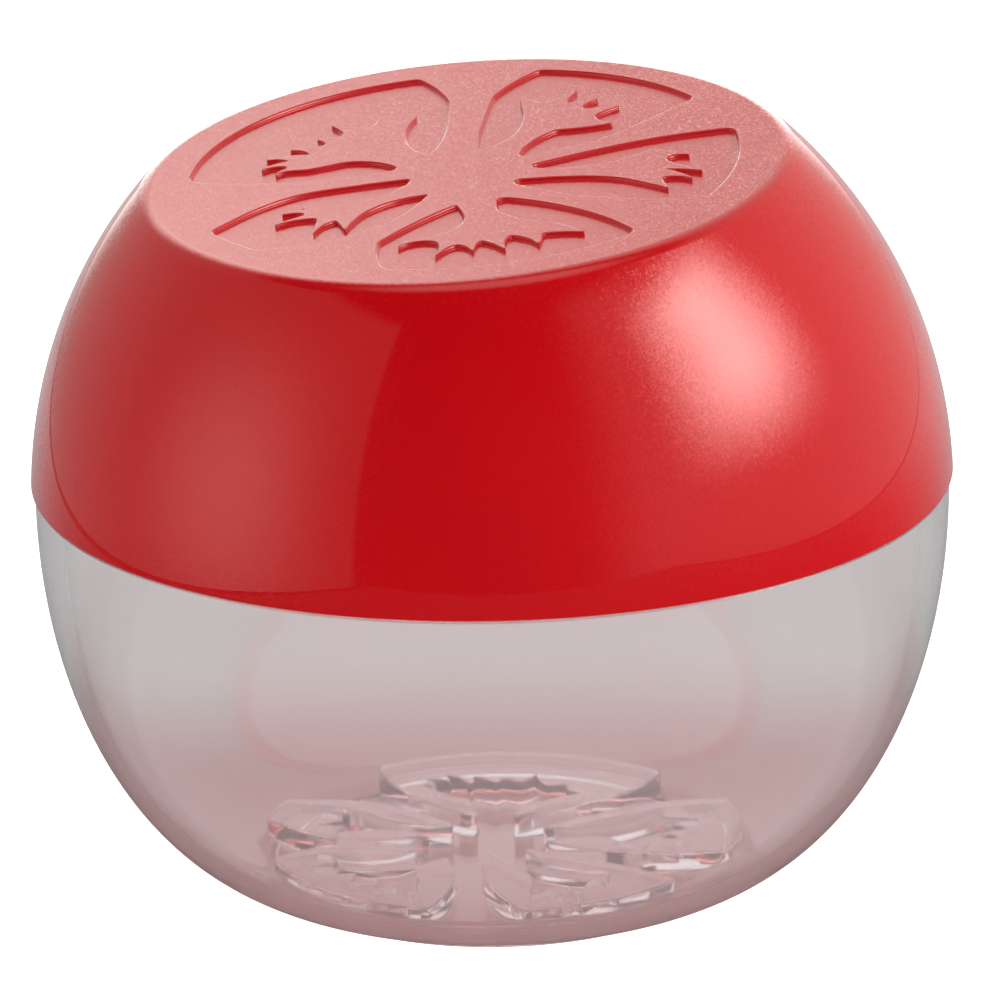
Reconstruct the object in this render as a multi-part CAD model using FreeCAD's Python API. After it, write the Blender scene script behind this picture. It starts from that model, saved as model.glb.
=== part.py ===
"""Tomato keeper: a clear bowl and a lift-off red lid that close into a rounded, tomato-shaped box.

Millimetres. The origin is the centre of the foot, on the ground, with +Z up. The lid's flat top
slants down towards -Y. Each function below makes one moulding or one feature of it.
"""
import FreeCAD, Part
import math
import os

Vector = FreeCAD.Vector
UP = Vector(0, 0, 1)

# Overall shape
SEAM_HEIGHT = 52.1        # ground to the seam, where the lid's rim sits on the bowl
LID_RADIUS = 57.0         # half width of the spheroid that the lid is cut from
LID_CROWN = 59.0          # centre of that spheroid to its pole
LID_CENTRE_DROP = 2.5     # its centre lies this far below the seam
TOP_HEIGHT = 40.2         # seam to the slanted top, measured on the axis
TOP_TILT = 5.5            # degrees that the top leans towards -Y
FOOT_RADIUS = 28.8

# Lid
LID_WALL = 1.9
LID_TOP_WALL = 2.4
LID_RIM_WALL = 2.1
TOP_EDGE_RADIUS = 2.0     # rounding round the flat top
LID_RIM_ROUND = 0.4
LID_RELIEF_BORDER = 5.6   # flat ring left between the relief and the edge of the top
LID_RELIEF_DEPTH = 0.5
LID_RELIEF_TURN = 41.0    # degrees from the relief's own drawing to the part's axes

# Bowl
BOWL_INSET = 0.5          # the bowl's rim stands this far inside the lid's outer edge
BOWL_UPPER_HANDLE = (0.4, 27.7)    # Bezier handle at the seam: outwards, down
BOWL_LOWER_HANDLE = (15.4, 2.8)    # Bezier handle at the foot: outwards, up
BOWL_WALL = 2.2
BOWL_FLOOR = 2.0
FLOOR_INSET = 1.9         # the flat floor inside is this much smaller than the foot
SHOULDER_ROUND = 0.5
FOOT_HEIGHT = 1.0         # the foot's short upright edge
FOOT_STEP = 0.6           # the bowl's curve starts this far outside the foot
FOOT_ROUND = 0.3
FOOT_RING_WIDTH = 3.0
FOOT_RECESS = 0.4         # underside inside the foot ring, so that only the ring touches
NECK_HEIGHT = 5.0         # thin collar that rises inside the lid
NECK_WALL = 1.5
NECK_ROUND = 0.4
LID_CLEARANCE = 0.25      # radial running gap between the neck and the lid
SEAT_MARGIN = 1.0         # the lid's straight seat is this much deeper than the neck is tall
FLOOR_RELIEF_HEIGHT = 3.3
FLOOR_RELIEF_OVERHANG = 1.5        # the floor relief reaches this far past the foot's radius
FLOOR_RELIEF_TURN = -13.0          # degrees from the relief's drawing to the part's axes

# The relief is a tomato slice: five seed pockets, each a horseshoe round a toothed cluster of
# seeds. The drawing is in plan, x to the right and y up, and its outermost points lie on a circle
# of DRAWN_RADIUS. A pocket is a start point and strokes: one further point is a straight line,
# two are an arc through the first to the second, and more are a smooth curve through them all.
DRAWN_RADIUS = 33.6

WIDE_POCKET = (
    (-4.2, 5.4),
    [(-3.2, 8.4), (-2.2, 14.0), (-1.8, 23.8)],
    [(-3.1, 28.5), (-5.5, 33.1)],
    [(-23.8, 23.7), (-33.0, 4.3)],
    [(-32.8, 2.7), (-31.6, 1.9)],
    [(-27.5, 0.6), (-21.0, -0.4), (-14.5, -0.3), (-8.7, 0.9)],
    [(-8.1, 1.7)],
    [(-11.0, 4.2), (-14.2, 5.0)],
    [(-16.6, 4.1), (-19.0, 3.4), (-21.8, 3.4), (-23.0, 2.4)],
    [(-22.2, 4.0), (-21.3, 4.9)],
    [(-23.2, 5.3), (-24.7, 4.4)],
    [(-23.3, 6.3), (-21.1, 7.0)],
    [(-22.7, 7.9), (-24.3, 7.9)],
    [(-21.7, 9.1), (-18.7, 8.7)],
    [(-19.7, 10.2), (-21.4, 10.8)],
    [(-19.2, 11.8), (-16.9, 11.7)],
    [(-17.3, 13.1), (-18.2, 14.1)],
    [(-16.6, 14.3), (-14.9, 14.7)],
    [(-15.3, 17.0), (-16.4, 18.7)],
    [(-13.7, 17.3), (-11.4, 16.9)],
    [(-10.3, 19.8)],
    [(-8.0, 18.3), (-5.6, 19.9)],
    [(-6.6, 15.6), (-6.9, 11.5), (-5.9, 7.6), (-4.2, 5.4)],
)
UPPER_POCKET = (
    (1.8, 5.8),
    [(2.0, 10.5), (2.8, 17.0), (3.9, 24.3)],
    [(6.0, 28.3), (9.7, 33.0)],
    [(20.5, 27.5), (27.8, 19.2)],
    [(28.1, 18.4), (27.7, 17.6)],
    [(22.5, 11.9), (16.0, 6.1), (7.4, 2.3)],
    [(6.8, 2.4)],
    [(8.2, 6.6), (11.6, 10.6)],
    [(14.6, 10.6), (18.5, 11.6)],
    [(16.9, 12.9), (16.2, 14.5)],
    [(17.8, 16.3), (19.5, 17.6)],
    [(16.8, 17.5), (14.7, 17.6)],
    [(15.5, 19.4), (16.9, 20.8)],
    [(14.8, 20.6), (12.8, 20.1)],
    [(13.5, 22.3), (14.3, 24.8)],
    [(12.0, 22.4), (9.8, 20.8)],
    [(8.7, 22.2), (7.1, 23.5)],
    [(7.1, 20.5), (7.3, 16.5), (6.3, 11.0), (4.0, 7.2), (1.8, 5.8)],
)
RIGHT_POCKET = (
    (8.3, -1.1),
    [(16.0, 2.3), (24.0, 5.0), (31.6, 6.3)],
    [(32.6, 5.9), (33.0, 4.6)],
    [(32.6, -5.5), (28.9, -16.3)],
    [(28.5, -16.9), (27.7, -17.0)],
    [(20.5, -15.4), (13.0, -12.3), (6.7, -7.5)],
    [(6.1, -6.5), (6.9, -5.8)],
    [(12.0, -6.1), (18.0, -7.8), (24.4, -12.9)],
    [(24.1, -10.9), (23.7, -9.1)],
    [(25.6, -9.1), (27.4, -10.3)],
    [(26.1, -7.9), (23.9, -6.1)],
    [(26.3, -6.8), (28.8, -7.9)],
    [(26.5, -5.5), (24.4, -2.9)],
    [(25.6, -1.6), (27.4, -1.9)],
    [(25.6, -0.1), (23.3, 0.7)],
    [(23.6, 2.1)],
    [(20.0, -0.7), (14.5, -2.9), (8.4, -2.1)],
    [(8.3, -1.1)],
)
LOWER_POCKET = (
    (-0.9, -12.9),
    [(-5.2, -17.3), (-10.1, -23.6)],
    [(-10.2, -27.5), (-9.8, -31.0)],
    [(-9.2, -32.2), (-8.0, -32.7)],
    [(6.5, -33.1), (19.0, -27.3)],
    [(19.6, -26.4), (19.3, -25.2)],
    [(14.2, -18.4), (5.4, -12.0)],
    [(4.4, -11.9), (3.9, -13.0)],
    [(4.2, -16.0), (7.2, -19.5), (11.0, -21.6), (14.3, -25.4)],
    [(11.8, -24.9), (9.1, -24.8)],
    [(9.1, -26.6), (8.6, -28.2)],
    [(7.3, -26.1), (5.4, -24.6)],
    [(4.8, -26.5), (4.8, -29.1)],
    [(3.3, -27.1), (1.9, -25.5)],
    [(1.3, -27.1), (0.9, -28.9)],
    [(0.1, -27.3), (-1.0, -26.3)],
    [(-2.6, -28.0), (-3.7, -29.8)],
    [(-3.2, -27.2), (-3.3, -25.1)],
    [(-4.7, -24.3), (-8.1, -26.0)],
    [(-6.6, -23.9), (-4.0, -22.8)],
    [(-1.6, -21.1), (-0.2, -18.0), (-0.9, -12.9)],
)
SMALL_POCKET = (
    (-6.5, -2.7),
    [(-12.5, -3.6), (-19.5, -5.2), (-24.5, -8.8), (-29.7, -14.9)],
    [(-29.9, -15.6), (-29.5, -16.5)],
    [(-27.6, -19.1), (-25.2, -22.1)],
    [(-24.6, -22.7), (-23.8, -22.8)],
    [(-15.5, -21.2), (-8.5, -16.0), (-4.2, -8.4)],
    [(-8.4, -10.0), (-11.6, -12.9), (-14.2, -18.4)],
    [(-14.9, -16.4), (-15.3, -14.9)],
    [(-16.9, -16.6), (-18.0, -18.9)],
    [(-17.9, -16.2), (-17.6, -13.8)],
    [(-20.3, -13.9), (-22.8, -15.1)],
    [(-20.6, -13.1), (-18.9, -12.0)],
    [(-20.5, -11.3), (-22.0, -11.7)],
    [(-20.4, -10.4), (-18.7, -10.5)],
    [(-19.7, -9.9)],
    [(-15.0, -9.7), (-10.0, -7.7), (-6.9, -4.3)],
    [(-6.5, -2.7)],
)
POCKETS = (WIDE_POCKET, UPPER_POCKET, RIGHT_POCKET, LOWER_POCKET, SMALL_POCKET)

# Worked out from the sizes above
lid_centre_z = SEAM_HEIGHT - LID_CENTRE_DROP
lid_rim_radius = LID_RADIUS * math.sqrt(1 - (LID_CENTRE_DROP / LID_CROWN) ** 2)
seat_radius = lid_rim_radius - LID_RIM_WALL
seat_top = SEAM_HEIGHT + NECK_HEIGHT + SEAT_MARGIN
neck_radius = seat_radius - LID_CLEARANCE
neck_inner_radius = neck_radius - NECK_WALL
bowl_rim_radius = lid_rim_radius - BOWL_INSET
floor_radius = FOOT_RADIUS - FLOOR_INSET
top_normal = Vector(0, -math.sin(math.radians(TOP_TILT)), math.cos(math.radians(TOP_TILT)))
# Spheroid centre to the slanted plane, and the foot of that perpendicular: the relief's centre.
top_distance = (TOP_HEIGHT + LID_CENTRE_DROP) * top_normal.z
top_centre = Vector(0, 0, lid_centre_z) + top_normal * top_distance
top_radius = LID_RADIUS * math.sqrt(1 - (top_distance / LID_CROWN) ** 2)


def stroke_edge(points):
    """One edge through 3-D points: a line, an arc or a smooth curve."""
    if len(points) == 2:
        return Part.LineSegment(*points).toShape()
    if len(points) == 3:
        return Part.Arc(*points).toShape()
    curve = Part.BSplineCurve()
    curve.interpolate(points)
    return curve.toShape()


def pocket_face(pocket, scale):
    """The flat face of one seed pocket, in the plane Z = 0."""
    place = [Vector(x * scale, y * scale, 0) for x, y in (pocket[0],)]
    edges = []
    for stroke in pocket[1:]:
        points = [place[-1]] + [Vector(x * scale, y * scale, 0) for x, y in stroke]
        edges.append(stroke_edge(points))
        place.append(points[-1])
    return Part.Face(Part.Wire(edges))


def relief(radius, height):
    """The five pockets as prisms of one height, scaled to reach a radius."""
    scale = radius / DRAWN_RADIUS
    return [pocket_face(pocket, scale).extrude(UP * height) for pocket in POCKETS]


def revolved(edges):
    """The solid that a closed outline in the XZ plane sweeps round the Z axis."""
    return Part.Face(Part.Wire(edges)).revolve(Vector(0, 0, 0), UP, 360)


def spheroid_above(radius, crown, centre_z, base_z):
    """The part of an upright spheroid that lies above a level plane."""
    pole = Vector(0, 0, centre_z + crown)
    side = Vector(radius, 0, centre_z)
    lift = (base_z - centre_z) / crown
    if crown >= radius:
        ellipse = Part.Ellipse(pole, side, Vector(0, 0, centre_z))
        arc = Part.ArcOfEllipse(ellipse, 0, math.acos(lift))
    else:
        ellipse = Part.Ellipse(side, pole, Vector(0, 0, centre_z))
        arc = Part.ArcOfEllipse(ellipse, math.asin(lift), math.pi / 2)
    edge = arc.toShape()
    rim = Vector(radius * math.sqrt(1 - lift ** 2), 0, base_z)
    axis_point = Vector(0, 0, base_z)
    closing = Part.LineSegment(rim, axis_point).toShape()
    axis = Part.LineSegment(axis_point, pole).toShape()
    return revolved([edge, closing, axis])


def above_top(offset):
    """A block that fills everything above the slanted top, moved down by an offset."""
    reach = 4 * LID_RADIUS
    block = Part.makeBox(reach, reach, reach, Vector(-reach / 2, -reach / 2, 0))
    block.Placement = FreeCAD.Placement(
        top_centre - top_normal * offset, FreeCAD.Rotation(Vector(1, 0, 0), TOP_TILT))
    return block


def edges_at(shape, wanted):
    """The edges of a shape whose every corner and middle passes a test."""
    found = []
    for edge in shape.Edges:
        middle = edge.valueAt((edge.FirstParameter + edge.LastParameter) / 2)
        if all(wanted(point) for point in [middle] + [v.Point for v in edge.Vertexes]):
            found.append(edge)
    return found


def ring_edges(shape, radius, z):
    """The circular edges of one radius at one height."""
    tol = 0.01
    return edges_at(shape, lambda p: abs(math.hypot(p.x, p.y) - radius) < tol and abs(p.z - z) < tol)


def make_lid():
    """The opaque lid: a hollow spheroid cap with a slanted flat top that carries the relief."""
    outer = spheroid_above(LID_RADIUS, LID_CROWN, lid_centre_z, SEAM_HEIGHT).cut(above_top(0))
    on_top = lambda p: abs((p - top_centre).dot(top_normal)) < 0.01
    outer = outer.makeFillet(TOP_EDGE_RADIUS, edges_at(outer, on_top))
    outer = outer.makeFillet(LID_RIM_ROUND, ring_edges(outer, lid_rim_radius, SEAM_HEIGHT))

    cavity = spheroid_above(
        LID_RADIUS - LID_WALL, LID_CROWN - LID_WALL, lid_centre_z, SEAM_HEIGHT)
    cavity = cavity.cut(above_top(LID_TOP_WALL))
    seat = Part.makeCylinder(seat_radius, seat_top - SEAM_HEIGHT, Vector(0, 0, SEAM_HEIGHT))
    lid = outer.cut(cavity.fuse(seat))

    tilt = FreeCAD.Rotation(Vector(1, 0, 0), TOP_TILT)
    turn = FreeCAD.Rotation(UP, LID_RELIEF_TURN)
    place = FreeCAD.Placement(top_centre - top_normal * LID_RELIEF_DEPTH, tilt.multiply(turn))
    for pocket in relief(top_radius - LID_RELIEF_BORDER, 2 * LID_RELIEF_DEPTH):
        pocket.Placement = place
        lid = lid.cut(pocket)
    return lid


def bezier_side(poles, corners):
    """The solid of a Bezier side whose two ends are joined by straight lines through corners."""
    side = Part.BezierCurve()
    side.setPoles(poles)
    stops = [poles[-1]] + corners + [poles[0]]
    lines = [Part.LineSegment(a, b).toShape() for a, b in zip(stops, stops[1:])]
    return revolved([side.toShape()] + lines)


def bowl_poles():
    """The four Bezier poles of the bowl's outer side, from the seam to the foot."""
    rim = Vector(bowl_rim_radius, 0, SEAM_HEIGHT)
    start = Vector(FOOT_RADIUS + FOOT_STEP, 0, FOOT_HEIGHT)
    out, down = BOWL_UPPER_HANDLE
    aside, up = BOWL_LOWER_HANDLE
    return [rim, rim + Vector(out, 0, -down), start + Vector(aside, 0, up), start]


def bowl_outside():
    """The bowl without its hollow, up to the shoulder where the lid rests."""
    return bezier_side(bowl_poles(), [
        Vector(FOOT_RADIUS, 0, FOOT_HEIGHT), Vector(FOOT_RADIUS, 0, 0),
        Vector(0, 0, 0), Vector(0, 0, SEAM_HEIGHT)])


def bowl_cavity():
    """The space inside the bowl, from the flat floor to above the neck.

    Its poles are the outer ones moved inwards, which keeps the side close to BOWL_WALL thick.
    """
    outer_upper, outer_lower = bowl_poles()[1:3]
    over = SEAM_HEIGHT + NECK_HEIGHT + 1
    rim = Vector(neck_inner_radius, 0, SEAM_HEIGHT)
    upper = Vector(neck_inner_radius + BOWL_UPPER_HANDLE[0], 0, outer_upper.z + BOWL_WALL)
    lower = outer_lower + Vector(0.35 * BOWL_WALL, 0, 1.45 * BOWL_WALL)
    floor_edge = Vector(floor_radius, 0, BOWL_FLOOR)
    return bezier_side([rim, upper, lower, floor_edge], [
        Vector(0, 0, BOWL_FLOOR), Vector(0, 0, over), Vector(neck_inner_radius, 0, over)])


def make_base_bowl():
    """The clear bowl: foot ring, shoulder, neck, and the same slice standing up from its floor."""
    body = bowl_outside()
    body = body.makeFillet(SHOULDER_ROUND, ring_edges(body, bowl_rim_radius, SEAM_HEIGHT))
    body = body.makeFillet(FOOT_ROUND, ring_edges(body, FOOT_RADIUS, 0))
    neck_top = SEAM_HEIGHT + NECK_HEIGHT
    neck = Part.makeCylinder(neck_radius, neck_top - SEAM_HEIGHT, Vector(0, 0, SEAM_HEIGHT))
    neck = neck.makeFillet(NECK_ROUND, ring_edges(neck, neck_radius, neck_top))
    hollow = body.fuse(neck).cut(bowl_cavity())

    floor_relief_radius = FOOT_RADIUS + FLOOR_RELIEF_OVERHANG
    turn = FreeCAD.Rotation(UP, FLOOR_RELIEF_TURN)
    for pocket in relief(floor_relief_radius, BOWL_FLOOR + FLOOR_RELIEF_HEIGHT):
        pocket.Placement = FreeCAD.Placement(Vector(0, 0, 0), turn)
        hollow = hollow.fuse(pocket.common(body))
    recess = Part.makeCylinder(FOOT_RADIUS - FOOT_RING_WIDTH, FOOT_RECESS)
    return hollow.cut(recess).removeSplitter()


def export(name, shape):
    """Write one sub-part, after making sure that it is a single sound solid."""
    if not shape.isValid() or len(shape.Solids) != 1:
        raise ValueError(f"{name} is not one valid solid")
    solid = shape.Solids[0]
    solid.exportStep(os.path.join("parts", name + ".step"))
    box = solid.optimalBoundingBox()
    print(f"{name}: volume {solid.Volume / 1000:.2f} cm3,"
          f" box {box.XLength:.2f} x {box.YLength:.2f} x {box.ZLength:.2f}, top {box.ZMax:.2f}")


os.makedirs("parts", exist_ok=True)
export("base_bowl", make_base_bowl())
export("lid", make_lid())
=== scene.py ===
"""Tomato keeper: the looks of its clear bowl and pearl red lid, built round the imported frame.

Metres, in the frame's own axes: +Z up, the origin under the middle of the foot, and the lid's flat
top slanting down towards -Y. Each moulding is one closed mesh that stands for one CAD node. Its
meshes are swept from short profiles, and the tomato slice on both mouldings is drawn once.
"""
import sys

import logging
import math
from dataclasses import dataclass, field
from enum import Enum
from functools import cache
from typing import Callable, ClassVar, Iterable, Sequence

import bpy
import numpy as np
from mathutils import Matrix, Vector
from mathutils.geometry import delaunay_2d_cdt


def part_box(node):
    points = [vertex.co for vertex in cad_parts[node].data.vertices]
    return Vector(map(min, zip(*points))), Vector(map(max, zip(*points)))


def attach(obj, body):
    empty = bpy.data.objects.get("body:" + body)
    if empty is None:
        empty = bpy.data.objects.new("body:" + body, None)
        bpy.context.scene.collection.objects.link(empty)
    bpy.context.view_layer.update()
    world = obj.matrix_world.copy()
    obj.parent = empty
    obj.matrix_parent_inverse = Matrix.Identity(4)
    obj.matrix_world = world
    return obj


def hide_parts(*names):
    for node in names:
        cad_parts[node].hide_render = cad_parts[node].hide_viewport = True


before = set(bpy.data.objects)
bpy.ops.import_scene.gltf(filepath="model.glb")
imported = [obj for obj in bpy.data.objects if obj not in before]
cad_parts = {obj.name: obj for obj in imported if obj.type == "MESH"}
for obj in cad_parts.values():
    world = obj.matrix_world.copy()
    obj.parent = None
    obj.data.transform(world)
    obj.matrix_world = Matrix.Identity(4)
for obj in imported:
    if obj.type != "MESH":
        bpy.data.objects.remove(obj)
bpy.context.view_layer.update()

MM = 0.001
AROUND = 360              # facets round each moulding
Pair = tuple[float, float]
Colour = tuple[float, float, float]
log = logging.getLogger("tomato_keeper")


class Slot(Enum):
    """The record's material slots."""

    CLEAR = "clear_plastic"
    RED = "red_plastic"


class Anchor(Enum):
    """The level that a step of a relief's wall is measured from."""

    GROUND = 0
    PLATEAU = 1


# --------------------------------------------------------------------------- the tomato slice
# Five seed pockets, each a horseshoe round a toothed cluster of seeds. The drawing is in plan and in
# millimetres, and its outermost points lie on a circle of DRAWN_RADIUS. A pocket is a start point
# and strokes: one further point is a straight line, two are an arc through the first to the second,
# and more are a smooth curve through them all.
DRAWN_RADIUS = 33.6

WIDE_POCKET = (
    (-4.2, 5.4),
    [(-3.2, 8.4), (-2.2, 14.0), (-1.8, 23.8)],
    [(-3.1, 28.5), (-5.5, 33.1)],
    [(-23.8, 23.7), (-33.0, 4.3)],
    [(-32.8, 2.7), (-31.6, 1.9)],
    [(-27.5, 0.6), (-21.0, -0.4), (-14.5, -0.3), (-8.7, 0.9)],
    [(-8.1, 1.7)],
    [(-11.0, 4.2), (-14.2, 5.0)],
    [(-16.6, 4.1), (-19.0, 3.4), (-21.8, 3.4), (-23.0, 2.4)],
    [(-22.2, 4.0), (-21.3, 4.9)],
    [(-23.2, 5.3), (-24.7, 4.4)],
    [(-23.3, 6.3), (-21.1, 7.0)],
    [(-22.7, 7.9), (-24.3, 7.9)],
    [(-21.7, 9.1), (-18.7, 8.7)],
    [(-19.7, 10.2), (-21.4, 10.8)],
    [(-19.2, 11.8), (-16.9, 11.7)],
    [(-17.3, 13.1), (-18.2, 14.1)],
    [(-16.6, 14.3), (-14.9, 14.7)],
    [(-15.3, 17.0), (-16.4, 18.7)],
    [(-13.7, 17.3), (-11.4, 16.9)],
    [(-10.3, 19.8)],
    [(-8.0, 18.3), (-5.6, 19.9)],
    [(-6.6, 15.6), (-6.9, 11.5), (-5.9, 7.6), (-4.2, 5.4)],
)
UPPER_POCKET = (
    (1.8, 5.8),
    [(2.0, 10.5), (2.8, 17.0), (3.9, 24.3)],
    [(6.0, 28.3), (9.7, 33.0)],
    [(20.5, 27.5), (27.8, 19.2)],
    [(28.1, 18.4), (27.7, 17.6)],
    [(22.5, 11.9), (16.0, 6.1), (7.4, 2.3)],
    [(6.8, 2.4)],
    [(8.2, 6.6), (11.6, 10.6)],
    [(14.6, 10.6), (18.5, 11.6)],
    [(16.9, 12.9), (16.2, 14.5)],
    [(17.8, 16.3), (19.5, 17.6)],
    [(16.8, 17.5), (14.7, 17.6)],
    [(15.5, 19.4), (16.9, 20.8)],
    [(14.8, 20.6), (12.8, 20.1)],
    [(13.5, 22.3), (14.3, 24.8)],
    [(12.0, 22.4), (9.8, 20.8)],
    [(8.7, 22.2), (7.1, 23.5)],
    [(7.1, 20.5), (7.3, 16.5), (6.3, 11.0), (4.0, 7.2), (1.8, 5.8)],
)
RIGHT_POCKET = (
    (8.3, -1.1),
    [(16.0, 2.3), (24.0, 5.0), (31.6, 6.3)],
    [(32.6, 5.9), (33.0, 4.6)],
    [(32.6, -5.5), (28.9, -16.3)],
    [(28.5, -16.9), (27.7, -17.0)],
    [(20.5, -15.4), (13.0, -12.3), (6.7, -7.5)],
    [(6.1, -6.5), (6.9, -5.8)],
    [(12.0, -6.1), (18.0, -7.8), (24.4, -12.9)],
    [(24.1, -10.9), (23.7, -9.1)],
    [(25.6, -9.1), (27.4, -10.3)],
    [(26.1, -7.9), (23.9, -6.1)],
    [(26.3, -6.8), (28.8, -7.9)],
    [(26.5, -5.5), (24.4, -2.9)],
    [(25.6, -1.6), (27.4, -1.9)],
    [(25.6, -0.1), (23.3, 0.7)],
    [(23.6, 2.1)],
    [(20.0, -0.7), (14.5, -2.9), (8.4, -2.1)],
    [(8.3, -1.1)],
)
LOWER_POCKET = (
    (-0.9, -12.9),
    [(-5.2, -17.3), (-10.1, -23.6)],
    [(-10.2, -27.5), (-9.8, -31.0)],
    [(-9.2, -32.2), (-8.0, -32.7)],
    [(6.5, -33.1), (19.0, -27.3)],
    [(19.6, -26.4), (19.3, -25.2)],
    [(14.2, -18.4), (5.4, -12.0)],
    [(4.4, -11.9), (3.9, -13.0)],
    [(4.2, -16.0), (7.2, -19.5), (11.0, -21.6), (14.3, -25.4)],
    [(11.8, -24.9), (9.1, -24.8)],
    [(9.1, -26.6), (8.6, -28.2)],
    [(7.3, -26.1), (5.4, -24.6)],
    [(4.8, -26.5), (4.8, -29.1)],
    [(3.3, -27.1), (1.9, -25.5)],
    [(1.3, -27.1), (0.9, -28.9)],
    [(0.1, -27.3), (-1.0, -26.3)],
    [(-2.6, -28.0), (-3.7, -29.8)],
    [(-3.2, -27.2), (-3.3, -25.1)],
    [(-4.7, -24.3), (-8.1, -26.0)],
    [(-6.6, -23.9), (-4.0, -22.8)],
    [(-1.6, -21.1), (-0.2, -18.0), (-0.9, -12.9)],
)
SMALL_POCKET = (
    (-6.5, -2.7),
    [(-12.5, -3.6), (-19.5, -5.2), (-24.5, -8.8), (-29.7, -14.9)],
    [(-29.9, -15.6), (-29.5, -16.5)],
    [(-27.6, -19.1), (-25.2, -22.1)],
    [(-24.6, -22.7), (-23.8, -22.8)],
    [(-15.5, -21.2), (-8.5, -16.0), (-4.2, -8.4)],
    [(-8.4, -10.0), (-11.6, -12.9), (-14.2, -18.4)],
    [(-14.9, -16.4), (-15.3, -14.9)],
    [(-16.9, -16.6), (-18.0, -18.9)],
    [(-17.9, -16.2), (-17.6, -13.8)],
    [(-20.3, -13.9), (-22.8, -15.1)],
    [(-20.6, -13.1), (-18.9, -12.0)],
    [(-20.5, -11.3), (-22.0, -11.7)],
    [(-20.4, -10.4), (-18.7, -10.5)],
    [(-19.7, -9.9)],
    [(-15.0, -9.7), (-10.0, -7.7), (-6.9, -4.3)],
    [(-6.5, -2.7)],
)
POCKETS = (WIDE_POCKET, UPPER_POCKET, RIGHT_POCKET, LOWER_POCKET, SMALL_POCKET)


def line_points(a: np.ndarray, b: np.ndarray, count: int) -> np.ndarray:
    """Points on a straight stroke, without its start."""
    share = np.linspace(0, 1, count + 1)[1:, None]
    return a + (b - a) * share


def arc_points(a: np.ndarray, via: np.ndarray, b: np.ndarray, count: int) -> np.ndarray:
    """Points on the arc from a through via to b, without its start."""
    m = 2 * np.array([via - a, b - a])
    c = np.linalg.solve(m, [via @ via - a @ a, b @ b - a @ a])
    angles = [math.atan2(*(p - c)[::-1]) for p in (a, via, b)]
    turn = (angles[2] - angles[0]) % math.tau
    if (angles[1] - angles[0]) % math.tau > turn:
        turn -= math.tau
    t = angles[0] + turn * np.linspace(0, 1, count + 1)[1:]
    return c + np.linalg.norm(a - c) * np.column_stack([np.cos(t), np.sin(t)])


def curve_points(knots: np.ndarray, count: int) -> np.ndarray:
    """Points on a smooth curve through all the knots, without its start.

    Args:
        knots: the points that the curve passes, in order.
        count: how many points are made between one knot and the next.

    Returns:
        The points, as rows.
    """
    ends = np.vstack([2 * knots[0] - knots[1], knots, 2 * knots[-1] - knots[-2]])
    steps = np.sqrt(np.linalg.norm(np.diff(ends, axis=0), axis=1))
    t = np.concatenate([[0], np.cumsum(steps)])
    found = []
    for k in range(1, len(ends) - 2):
        p, s = ends[k - 1:k + 3], t[k - 1:k + 3]
        for x in np.linspace(s[1], s[2], count + 1)[1:]:
            a = [((s[j + 1] - x) * p[j] + (x - s[j]) * p[j + 1]) / (s[j + 1] - s[j]) for j in range(3)]
            b = [((s[j + 2] - x) * a[j] + (x - s[j]) * a[j + 1]) / (s[j + 2] - s[j]) for j in range(2)]
            found.append(((s[2] - x) * b[0] + (x - s[1]) * b[1]) / (s[2] - s[1]))
    return np.array(found)


def evenly_spaced(loop: np.ndarray, spacing: float) -> np.ndarray:
    """The closed loop again, with its points the same distance apart all the way round."""
    closed = np.vstack([loop, loop[:1]])
    along = np.concatenate([[0], np.cumsum(np.linalg.norm(np.diff(closed, axis=0), axis=1))])
    stops = np.linspace(0, along[-1], int(round(along[-1] / spacing)) + 1)[:-1]
    return np.column_stack([np.interp(stops, along, closed[:, k]) for k in (0, 1)])


def relaxed(loop: np.ndarray, rounds: int) -> np.ndarray:
    """The closed loop with its corners eased by averaging each point with its neighbours."""
    for _ in range(rounds):
        loop = 0.5 * loop + 0.25 * (np.roll(loop, 1, 0) + np.roll(loop, -1, 0))
    return loop


def loop_normals(loop: np.ndarray) -> np.ndarray:
    """Unit vectors that point out of a closed loop, one at each of its points."""
    along = np.roll(loop, -1, 0) - np.roll(loop, 1, 0)
    out = np.column_stack([along[:, 1], -along[:, 0]])
    area = np.sum(loop[:, 0] * np.roll(loop[:, 1], -1) - loop[:, 1] * np.roll(loop[:, 0], -1))
    return out / np.linalg.norm(out, axis=1)[:, None] * np.sign(area)


def room_beside(loop: np.ndarray, reach: float, bend: float = 1.3, share: float = 0.4,
                spread: int = 3) -> np.ndarray:
    """How far each point of a closed loop can move aside, clear of the loop's other parts.

    Args:
        loop: the points, evenly spaced.
        reach: the most that a point may move.
        bend: a part counts as another one when it is this many times further along than across.
        share: how much of the gap to the nearest other part may be used.
        spread: how many points to each side a tight spot is shared with.

    Returns:
        One distance for each point.
    """
    gaps = np.linalg.norm(loop[:, None] - loop[None], axis=2)
    apart = np.abs(np.subtract.outer(np.arange(len(loop)), np.arange(len(loop))))
    along = np.minimum(apart, len(loop) - apart) * gaps[0, 1]
    gaps[along <= bend * gaps + 1e-9] = np.inf
    room = np.minimum(reach, share * gaps.min(axis=1))
    tightest = np.min([np.roll(room, k) for k in range(-spread, spread + 1)], axis=0)
    return relaxed(tightest, spread + 1)


def inside(points: np.ndarray, loop: np.ndarray) -> np.ndarray:
    """Which of the points lie inside a closed loop."""
    a, b = loop, np.roll(loop, -1, 0)
    x, y = points[:, :1], points[:, 1:]
    crosses = (a[:, 1] > y) != (b[:, 1] > y)
    rise = np.where(a[:, 1] == b[:, 1], 1e-12, b[:, 1] - a[:, 1])
    left = x < a[:, 0] + (y - a[:, 1]) * (b[:, 0] - a[:, 0]) / rise
    return (crosses & left).sum(1) % 2 == 1


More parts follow.
